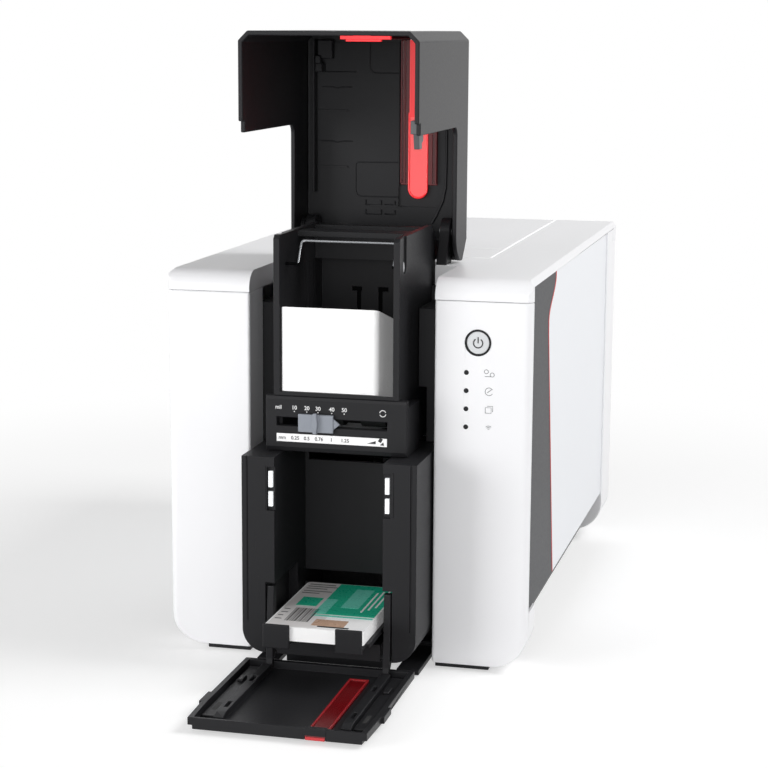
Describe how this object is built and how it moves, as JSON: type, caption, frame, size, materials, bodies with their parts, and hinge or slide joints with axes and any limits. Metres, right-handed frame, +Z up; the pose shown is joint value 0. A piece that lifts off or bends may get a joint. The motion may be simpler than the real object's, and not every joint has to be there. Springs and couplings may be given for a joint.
{
  "type": "plastic card printer",
  "caption": "Desktop printer for plastic identity cards, with its feeder cover up, output flap down, and a card feeder, tray, ribbon and roller engine inside.",
  "frame": {"origin": "on the floor under the middle of the whole open printer", "axes": "+X to the right seen from the front, +Y to the rear, +Z up"},
  "size_m": [0.205, 0.471, 0.346],
  "materials": {
    "white_shell": "smooth gloss white",
    "pale_panel": "satin pale grey",
    "stripe_grey": "satin mid grey",
    "trim_red": "thin gloss red line",
    "black_plastic": "fine matt black",
    "dark_plastic": "fine matt charcoal",
    "light_pipe": "milky white",
    "red_clear": "clear dark red plastic",
    "slider_grey": "satin blue grey",
    "steel": "plain steel",
    "bright_steel": "bright drawn wire",
    "rubber": "soft black",
    "cleaning_blue": "tacky blue",
    "card_stock": "white card",
    "card_print": "printed card, green and white",
    "ribbon_film": "dark ink film",
    "spool_plastic": "amber moulding",
    "gear_plastic": "brown moulding",
    "board_green": "green laminate",
    "button_grey": "satin light grey"
  },
  "bodies": {
    "printer": {"base_tray": "black_plastic", "rubber_feet": "rubber", "front_panel_left": "white_shell", "front_panel_right": "white_shell", "top_frame": "white_shell", "top_deck": "white_shell", "lid_hinge_pins": "steel", "rear_housing": "white_shell", "side_panel_left": "pale_panel", "side_panel_right": "pale_panel", "side_stripe_left": "stripe_grey", "side_stripe_right": "stripe_grey", "side_trims": "trim_red", "recess_panel": "black_plastic", "output_hopper": "black_plastic", "hopper_light_pipes": "light_pipe", "feeder_housing": "black_plastic", "gauge_panel": "black_plastic", "gauge_scale": "card_stock", "cover_brackets": "black_plastic", "cover_hinge_pins": "steel", "flap_hinge_pins": "steel", "button_bezel": "dark_plastic", "status_lights": "dark_plastic", "chassis_plate_left": "steel", "chassis_plate_right": "steel", "chassis_rods": "steel", "ribbon_web": "ribbon_film", "ribbon_motor": "steel", "drive_motor": "steel", "drive_belt": "rubber", "main_board": "board_green", "rear_sockets": "black_plastic", "chassis_screws": "steel"},
    "feeder_cover": {"cover_shell": "dark_plastic", "cover_liner": "black_plastic", "cover_window": "red_clear", "cover_catch": "slider_grey"},
    "output_flap": {"flap_shell": "dark_plastic", "flap_arms": "dark_plastic", "flap_window": "red_clear"},
    "output_tray": {"card_tray": "black_plastic", "printed_cards": "card_print"},
    "lid": {"top_lid": "white_shell", "head_carrier": "dark_plastic", "print_head": "steel"},
    "bail": {"wire_bail": "bright_steel"},
    "slider": {"gauge_slider": "slider_grey"},
    "button": {"power_button": "button_grey"},
    "card_pile": {"blank_cards": "card_stock"},
    "pick": {"pick_roller": "rubber"},
    "eject": {"eject_roller": "rubber"},
    "cleaning": {"cleaning_roller": "cleaning_blue"},
    "platen": {"platen_roller": "rubber"},
    "transport": {"transport_roller": "rubber"},
    "motor_pulley": {"drive_pulley": "gear_plastic"},
    "takeup": {"ribbon_takeup": "spool_plastic"},
    "supply": {"ribbon_supply": "spool_plastic"},
    "pinion": {"ribbon_pinion": "gear_plastic"}
  },
  "joints": [
    {"name": "cover_hinge", "type": "hinge", "parent": "printer", "child": "feeder_cover", "pos_m": [0, -0.0295, 0.234], "axis": [1, 0, 0], "range_deg": [0, 90]},
    {"name": "flap_hinge", "type": "hinge", "parent": "printer", "child": "output_flap", "pos_m": [0, -0.131, 0.0165], "axis": [-1, 0, 0], "range_deg": [0, 90]},
    {"name": "tray_slide", "type": "slide", "parent": "printer", "child": "output_tray", "axis": [0, 1, 0], "range_m": [0, 0.0351]},
    {"name": "lid_hinge", "type": "hinge", "parent": "printer", "child": "lid", "pos_m": [0, 0.2265, 0.209], "axis": [-1, 0, 0], "range_deg": [0, 65]},
    {"name": "bail_hinge", "type": "hinge", "parent": "printer", "child": "bail", "pos_m": [0, -0.1125, 0.2225], "axis": [-1, 0, 0], "range_deg": [0, 30]},
    {"name": "gauge_slide", "type": "slide", "parent": "printer", "child": "slider", "axis": [1, 0, 0], "range_m": [-0.0128, 0.0147]},
    {"name": "button_press", "type": "slide", "parent": "printer", "child": "button", "axis": [0, 1, 0], "range_m": [0, 0.0006], "stiffness_N_per_m": 1500},
    {"name": "card_pull", "type": "slide", "parent": "printer", "child": "card_pile", "axis": [0, 0.9659, -0.2588], "range_m": [-0.09, 0]},
    {"name": "pick_spin", "type": "hinge", "parent": "printer", "child": "pick", "pos_m": [0, -0.0845, 0.13684], "axis": [1, 0, 0], "continuous": true},
    {"name": "platen_spin", "type": "hinge", "parent": "printer", "child": "platen", "pos_m": [0, 0.1355, 0.104], "axis": [1, 0, 0], "continuous": true},
    {"name": "eject_spin", "type": "hinge", "parent": "printer", "child": "eject", "pos_m": [0, -0.0205, 0.105], "axis": [1, 0, 0], "continuous": true},
    {"name": "cleaning_spin", "type": "hinge", "parent": "printer", "child": "cleaning", "pos_m": [0, 0.0555, 0.105], "axis": [1, 0, 0], "continuous": true},
    {"name": "transport_spin", "type": "hinge", "parent": "printer", "child": "transport", "pos_m": [0, 0.1875, 0.105], "axis": [1, 0, 0], "continuous": true},
    {"name": "motor_spin", "type": "hinge", "parent": "printer", "child": "motor_pulley", "pos_m": [0, 0.0955, 0.06], "axis": [1, 0, 0], "continuous": true},
    {"name": "takeup_spin", "type": "hinge", "parent": "printer", "child": "takeup", "pos_m": [0, 0.0715, 0.165], "axis": [1, 0, 0], "continuous": true},
    {"name": "supply_spin", "type": "hinge", "parent": "printer", "child": "supply", "pos_m": [0, 0.1855, 0.16], "axis": [1, 0, 0], "continuous": true},
    {"name": "pinion_spin", "type": "hinge", "parent": "printer", "child": "pinion", "pos_m": [0, 0.0586, 0.1521], "axis": [1, 0, 0], "continuous": true}
  ],
  "couplings": [
    {"joint": "tray_slide", "follows": "flap_hinge", "m_per_rad": 0.022282},
    {"joint": "eject_spin", "follows": "platen_spin", "ratio": 1},
    {"joint": "cleaning_spin", "follows": "platen_spin", "ratio": 1},
    {"joint": "transport_spin", "follows": "platen_spin", "ratio": 1},
    {"joint": "motor_spin", "follows": "platen_spin", "ratio": 1},
    {"joint": "supply_spin", "follows": "takeup_spin", "ratio": 0.70588},
    {"joint": "pinion_spin", "follows": "takeup_spin", "ratio": -2}
  ]
}
